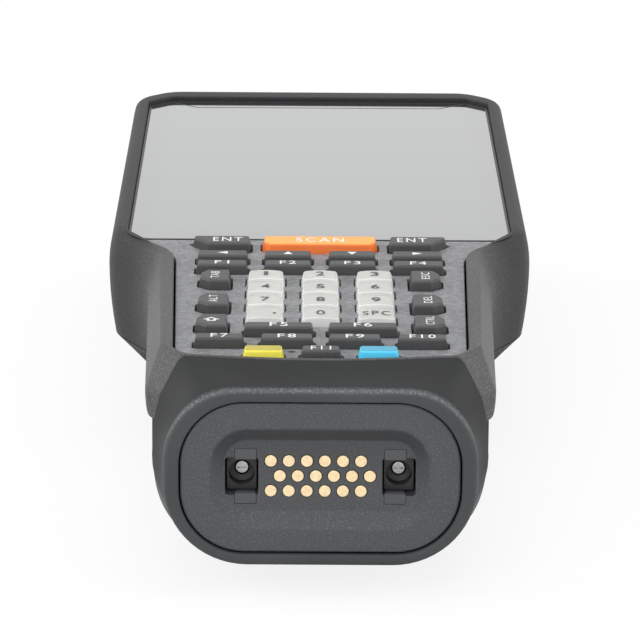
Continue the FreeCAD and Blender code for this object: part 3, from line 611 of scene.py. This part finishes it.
def bootPiece():
    # rolled front edge, then lines from the ring to the boot's far edge with a slight waist
    ring, dock = uprightBlock(*boot["ring"]), uprightBlock(*boot["dock"])
    steps = {"arcSteps": 16, "edgeSteps": 14}
    gap, a, b = boot["gap"], boot["innerRound"], boot["outerRound"]
    rings = [upright(roundLoop(inset(dock, -gap), **steps), 5.0)]
    for t in np.linspace(0, math.pi / 2, 5):
        loop = roundLoop(inset(dock, -gap - a * (1 - math.cos(t))), **steps)
        rings.append(upright(loop, a * (1 - math.sin(t))))
    for t in np.linspace(math.pi / 2, 0, 8):
        loop = roundLoop(inset(ring, b * (1 - math.cos(t))), **steps)
        rings.append(upright(loop, b * (1 - math.sin(t))))
    around = roundLoop(ring, **steps)
    start = upright(around, boot["lipY"])
    finish = bootEdge(around)
    for t in np.linspace(0, 1, 10):
        waist = 0.35 * math.sin(math.pi * t) * smooth(start[:, 2], 12.0, 26.0)
        step = start + (finish - start) * t
        step[:, 0] -= waist * np.sign(step[:, 0]) * np.minimum(np.abs(step[:, 0]) / 20, 1)
        step[:, 2] -= 0.5 * math.sin(math.pi * t) * smooth(start[:, 2], 33.5, 35.4)
        rings.append(step)
    rings.append(finish * np.array([0.94, 1, 1]) + np.array([0, 0.3, -0.8]))
    return skin("end_boot", rings, cap="loop", finish=finishes["bumper_rubber"], sharp=50)


endBoot = bootPiece()
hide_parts("end_bumper")
print("boot ready")


# Keys and their legends

key = {
    "height": 1.77, "draft": 0.4, "round": 0.5, "flange": 0.45, "flangeThick": 0.6, "play": 0.1,
    "plate": 1.2, "crown": 0.32, "inkLift": 0.012, "under": 1.2, "sideSteps": 8,
    "numberX": 9.65, "numberHalf": 3.4, "numberRows": (59.5, 50.75, 42.0, 33.2),
    "sideRows": (58.3, 42.0, 28.2), "frontRowY": 8.6,
}
numberNames = ("1", "2", "3", "4", "5", "6", "7", "8", "9", "point", "0", "space")


def sideKey(side, midY):
    x0, x1, half = 15.8, 21.6, 4.15
    right = [(x0, midY - half, 0.6), (x1 - 2.0, midY - half, 0.6), (x1, midY - half + 2.1, 0.6),
             (x1, midY + half - 2.4, 0.6), (x1 - 1.2, midY + half, 0.6), (x0, midY + half, 0.6)]
    return right if side > 0 else [(-x, y, r) for x, y, r in reversed(right)]


def enterKey(side):
    right = [(12.6, 80.7, 0.7), (20.5, 80.7, 0.8), (23.4, 84.8, 0.7), (23.4, 87.1, 0.7), (12.6, 87.1, 0.7)]
    return right if side > 0 else [(-x, y, r) for x, y, r in reversed(right)]


def keyOutlines():
    keys = {"enter_left": enterKey(-1), "enter_right": enterKey(1),
            "scan": bothSides([(9.3, 80.5, 0.8), (10.6, 82.4, 0.8), (10.6, 87.1, 0.8)])}
    spans = [(-22.4, -12.9), (-10.25, -1.35), (1.35, 10.25), (12.9, 22.4)]
    for names, y0, y1 in ((("left", "up", "down", "right"), 71.8, 76.4),
                          (("f1", "f2", "f3", "f4"), 65.1, 69.4)):
        for name, (x0, x1) in zip(names, spans):
            keys[name] = block(x0, x1, y0, y1, 0.7)
    for i, name in enumerate(numberNames):
        x, y = (i % 3 - 1) * key["numberX"], key["numberRows"][i // 3]
        keys[name] = block(x - key["numberHalf"], x + key["numberHalf"], y - 3.2, y + 3.0, 0.8)
    for side, names in ((-1, ("tab", "alt", "shift")), (1, ("escape", "back", "control"))):
        for midY, name in zip(key["sideRows"], names):
            keys[name] = sideKey(side, midY)
    keys["f5"] = block(-13.25, -1.1, 23.2, 27.3, 0.7)
    keys["f6"] = block(1.1, 13.25, 23.2, 27.3, 0.7)
    for name, x0, x1 in (("f7", -21.5, -12.8), ("f8", -10.4, -1.1), ("f9", 1.1, 10.4), ("f10", 12.8, 21.5)):
        keys[name] = block(x0, x1, 16.0, 20.0, 0.7)
    for name, x in (("yellow", -key["numberX"]), ("f11", 0), ("blue", key["numberX"])):
        keys[name] = block(x - 3.5, x + 3.5, key["frontRowY"], 12.5, 0.8)
    return keys


def crownDrop(points, corners):  # a number key falls away to both sides as the square of x
    c = np.array(corners)
    middle, half = c[:, 0].mean(), np.ptp(c[:, 0]) / 2
    return key["crown"] * ((points[:, 0] - middle) / half) ** 2


def keyCap(name, corners):
    # flange, straight body, drafted crown with a rounded edge, and a top face that closes inwards
    flangeZ = topZ - key["plate"] - key["play"] - key["flangeThick"]
    top, r = topZ + key["height"], key["round"]
    levels = [(key["under"], flangeZ), (-key["flange"], flangeZ),
              (-key["flange"], flangeZ + key["flangeThick"]),
              (0, flangeZ + key["flangeThick"] + 0.01), (0, topZ - 0.4)]
    slope = key["draft"] - 0.05
    levels.append((slope, top - r))
    for a in np.linspace(0, math.pi / 2, 7)[1:]:
        levels.append((slope + r * (1 - math.cos(a)), top - r * (1 - math.sin(a))))
    levels += [(slope + r + 0.15, top), (slope + r + 0.35, top)]
    rings = [lying(roundLoop(inset(corners, d), arcSteps=6, edgeSteps=4), z) for d, z in levels]
    if name in numberNames:
        for ring in rings[5:]:
            ring[:, 2] -= crownDrop(ring, corners)
    slot = slotOf["key_" + name]
    # the light keys' tops take their painted light and shade tone
    second = (len(rings[0]) * key["sideSteps"], topsPaintedLight[slot]) if slot in topsPaintedLight else None
    cap = skin("cap_" + name, rings, body="key_" + name, finish=finishes[slot], sharp=40,
               second=second)
    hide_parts("key_" + name)
    return cap


outlines = keyOutlines()
for name, corners in outlines.items():
    keyCap(name, corners)
print("keys ready:", len(outlines))

# text, wide, high, turned
legends = {
    "scan": ("SCAN", 8.8, 2.9, 0), "enter_left": ("ENT", 5.4, 2.9, 0), "enter_right": ("ENT", 5.4, 2.9, 0),
    "f1": ("F1", 2.6, 2.2, 0), "f2": ("F2", 2.9, 2.2, 0), "f3": ("F3", 2.9, 2.2, 0), "f4": ("F4", 2.9, 2.2, 0),
    "f5": ("F5", 3.1, 2.4, 0), "f6": ("F6", 3.1, 2.4, 0), "f7": ("F7", 2.9, 2.3, 0), "f8": ("F8", 3.1, 2.3, 0),
    "f9": ("F9", 3.1, 2.3, 0), "f10": ("F10", 4.4, 2.3, 0), "f11": ("F11", 3.4, 2.2, 0),
    "point": (".", 0.6, 0.9, 0), "space": ("SPC", 4.9, 2.7, 0),
    "tab": ("TAB", 4.4, 1.5, 90), "alt": ("ALT", 4.4, 1.5, 90), "escape": ("ESC", 4.4, 1.5, 90),
    "back": ("DEL", 4.4, 1.5, 90), "control": ("CTRL", 5.0, 1.5, 90),
}
legends.update({digit: (digit, 1.5 if digit != "1" else 0.75, 2.8, 0) for digit in "1234567890"})
legendShift = {"point": (1.7, -0.3), "enter_left": (1.1, 0.1), "enter_right": (-1.1, 0.1)}
triangle = np.array([(-0.85, -0.9), (0.85, -0.9), (0, 0.95)])
arrowTurns = {"up": 0, "left": 90, "down": 180, "right": 270}
shiftArrow = np.array([(0, 1.3), (-1.5, -0.2), (-0.75, -0.2), (-0.75, -1.1), (0.75, -1.1), (0.75, -0.2),
                       (1.5, -0.2)])
shiftHollow = np.array([(0, 0.75), (-0.75, 0.1), (-0.35, 0.1), (-0.35, -0.7), (0.35, -0.7), (0.35, 0.1),
                        (0.75, 0.1)])


def keyMiddle(corners):
    c = np.array(corners)
    return (c[:, :2].min(0) + c[:, :2].max(0)) / 2


def layInk(name, flat, faces, turn):
    # flat drawing, turned, moved to the key's middle and laid on its face
    corners = outlines[name]
    a = math.radians(turn)
    turned = flat @ np.array([[math.cos(a), math.sin(a)], [-math.sin(a), math.cos(a)]])
    points = np.column_stack([turned + keyMiddle(corners) + legendShift.get(name, (0, 0)),
                              np.full(len(flat), topZ + key["height"] + key["inkLift"])])
    if name in numberNames:
        points[:, 2] -= crownDrop(points, corners)
    ink = inks["dark" if name in numberNames else "pale"]
    piece = makePiece("legend_" + name, points, faces, body="key_" + name, finish=ink, solid=False)
    slotOf["key_" + name]


def wordInk(name, text, wide, high, turn):
    curve = bpy.data.curves.new("word_" + name, "FONT")
    curve.body = text
    curve.offset = 0.004
    curve.resolution_u = 4
    curve.space_character = 1.25
    helper = bpy.data.objects.new("word_" + name, curve)
    bpy.context.scene.collection.objects.link(helper)
    mesh = bpy.data.meshes.new_from_object(helper)
    flat = np.zeros(len(mesh.vertices) * 3)
    mesh.vertices.foreach_get("co", flat)
    flat = flat.reshape(-1, 3)[:, :2]
    low, high0 = flat.min(0), flat.max(0)
    flat = (flat - (low + high0) / 2) / (high0 - low) * np.array([wide, high])
    faces = [list(p.vertices) for p in mesh.polygons]
    layInk(name, flat, faces, turn)
    bpy.data.objects.remove(helper)
    bpy.data.curves.remove(curve)
    bpy.data.meshes.remove(mesh)


for name, (text, wide, high, turn) in legends.items():
    wordInk(name, text, wide, high, turn)
for name, turn in arrowTurns.items():
    layInk(name, triangle, [(0, 1, 2)], turn)
arrowRim = np.vstack([shiftArrow, shiftHollow])
layInk("shift", arrowRim, [(i, (i + 1) % 7, (i + 1) % 7 + 7, i + 7) for i in range(7)], 0)
print("legends ready:", len(legends) + len(arrowTurns) + 1)


# Dark strip painted as the shade in the gap round the glass, and printed line on the glass

window = {
    "outline": ((35.6, 90.7, 4.5), (35.6, 205.4, 1.0), (31.0, 209.8, 1.0)),
    "gapShadeStrip": (0.0, 0.55), "gapShadeLift": 0.02, "lineLift": 0.03, "lineWide": 0.28,
    "line": ((-31.2, 208.7), (-25.6, 203.9), (25.4, 203.9), (31.0, 208.7)),
}


def gapShadeStrip():
    # painted shade: a black strip round the glass's edge, put where there is only the shade of the gap between
    # glass and rim
    corners = [(-x, y, r) for x, y, r in window["outline"]][::-1] + list(window["outline"])
    outer, inner = window["gapShadeStrip"]
    z = topZ + window["gapShadeLift"]
    levels = [(outer, z - 0.6), (outer, z), (inner - 0.1, z), (inner, z - 0.06), (inner, z - 0.6)]
    rings = [lying(roundLoop(inset(corners, d), arcSteps=9, edgeSteps=6), height) for d, height in levels]
    piece = skin("window_gap_shade", rings, cap="loop", finish=finishes["black_plastic"])


def printedLine():
    # a thin open line along the corner points, its ends cut square
    p = np.array(window["line"])
    run = np.diff(p, axis=0)
    run /= np.linalg.norm(run, axis=1)[:, None]
    side = np.column_stack([-run[:, 1], run[:, 0]])
    before, after = np.vstack([side[:1], side]), np.vstack([side, side[-1:]])
    mitre = (before + after) / (1 + (before * after).sum(1))[:, None] * window["lineWide"] / 2
    points = np.vstack([p + mitre, p - mitre])
    points = np.column_stack([points, np.full(len(points), topZ + window["lineLift"])])
    piece = makePiece("printed_line", points, [(0, 1, 5, 4), (1, 2, 6, 5), (2, 3, 7, 6)],
                      finish=inks["dark"], solid=False)


gapShadeStrip()
printedLine()
print("window trim ready")

# Studio

camera = {
    "pivot": (0.0, -73.9, 38.4),       # the point of the keypad plate at the picture's middle
    "back": 706.6, "up": 193.3, "sideShift": -0.1,
    "tilt": 15.3, "turn": 0.26, "roll": 0.42, "pixels": 4247.0, "frame": 640,
}


def addCamera():
    c = camera
    tilt, turn, roll = (math.radians(c[n]) for n in ("tilt", "turn", "roll"))
    spin = Matrix.Rotation(-turn, 3, "Z")
    eye = spin @ Vector((0, -c["back"], c["up"])) + Vector(c["pivot"]) + Vector((c["sideShift"], 0, 0))
    forward = spin @ Vector((0, math.cos(tilt), -math.sin(tilt)))
    right = spin @ Vector((1, 0, 0))
    up = right.cross(forward)
    right, up = right * math.cos(roll) + up * math.sin(roll), up * math.cos(roll) - right * math.sin(roll)
    lens = bpy.data.cameras.new("camera")
    lens.sensor_width = 36
    lens.lens = c["pixels"] / c["frame"] * lens.sensor_width
    lens.clip_end = 20
    eyeObject = bpy.data.objects.new("camera", lens)
    bpy.context.scene.collection.objects.link(eyeObject)
    turned = Matrix((right, up, -forward)).transposed()
    eyeObject.matrix_world = Matrix.Translation(eye / 1000) @ turned.to_4x4()
    bpy.context.scene.camera = eyeObject


lamps = {
    "front": {"at": (-0.25, -1.1, 0.75), "aim": (0, -0.03, 0.02), "size": 0.9, "power": 7.0},
    "top": {"at": (0.1, 0.15, 1.3), "aim": (0, 0, 0), "size": 1.2, "power": 6.5},
    "left": {"at": (-1.1, 0.1, 0.6), "aim": (0, 0, 0.02), "size": 0.7, "power": 7.0},
    "right": {"at": (1.1, -0.1, 0.5), "aim": (0, 0, 0.02), "size": 0.7, "power": 5.5},
}


def addLamp(name, at, aim, size, power):
    lamp = bpy.data.lights.new(name, "AREA")
    lamp.size = size
    lamp.energy = power
    holder = bpy.data.objects.new(name, lamp)
    bpy.context.scene.collection.objects.link(holder)
    holder.location = at
    holder.rotation_euler = (Vector(aim) - Vector(at)).to_track_quat("-Z", "Y").to_euler()


def addFloor():
    # white floor: seen straight on it is nearly the backdrop's white, and it keeps a faint shadow
    mesh = bpy.data.meshes.new("floor")
    half = 4.0
    corners = [(-half, -half, 0), (half, -half, 0), (half, half, 0), (-half, half, 0)]
    mesh.from_pydata(corners, [], [(0, 1, 2, 3)])
    floor = bpy.data.objects.new("floor", mesh)
    bpy.context.scene.collection.objects.link(floor)
    f = Finish("floor")
    f.set(colour=(0.9, 0.9, 0.9), rough=0.9)
    path = f.add("ShaderNodeLightPath", {}, {}, "Is Camera Ray")
    glow = f.add("ShaderNodeEmission", {}, {"Color": (1.0, 1.0, 1.0), "Strength": 1.0})
    plain = Signal(f, f.shader.outputs[0])
    mixed = f.add("ShaderNodeMixShader", {}, [path * 0.85, plain, glow])
    output = next(n for n in f.tree.nodes if n.type == "OUTPUT_MATERIAL")
    f.tree.links.new(mixed.socket, output.inputs[0])
    mesh.materials.append(f.material)


def addWorld():
    world = bpy.data.worlds.new("studio")
    bpy.context.scene.world = world
    world.use_nodes = True
    tree = world.node_tree
    tree.nodes.clear()
    path = tree.nodes.new("ShaderNodeLightPath")
    seen = tree.nodes.new("ShaderNodeMath")
    seen.operation = "MAXIMUM"
    tree.links.new(path.outputs["Is Camera Ray"], seen.inputs[0])
    tree.links.new(path.outputs["Is Glossy Ray"], seen.inputs[1])
    strength = tree.nodes.new("ShaderNodeMapRange")
    strength.inputs["To Min"].default_value = 0.45
    strength.inputs["To Max"].default_value = 1.0
    tree.links.new(seen.outputs[0], strength.inputs["Value"])
    background = tree.nodes.new("ShaderNodeBackground")
    background.inputs["Color"].default_value = (1, 1, 1, 1)
    tree.links.new(strength.outputs[0], background.inputs["Strength"])
    output = tree.nodes.new("ShaderNodeOutputWorld")
    tree.links.new(background.outputs[0], output.inputs[0])


addCamera()
for name, lamp in lamps.items():
    addLamp(name, **lamp)
addFloor()
addWorld()
bpy.context.scene.view_settings.view_transform = "Standard"
print("studio ready")
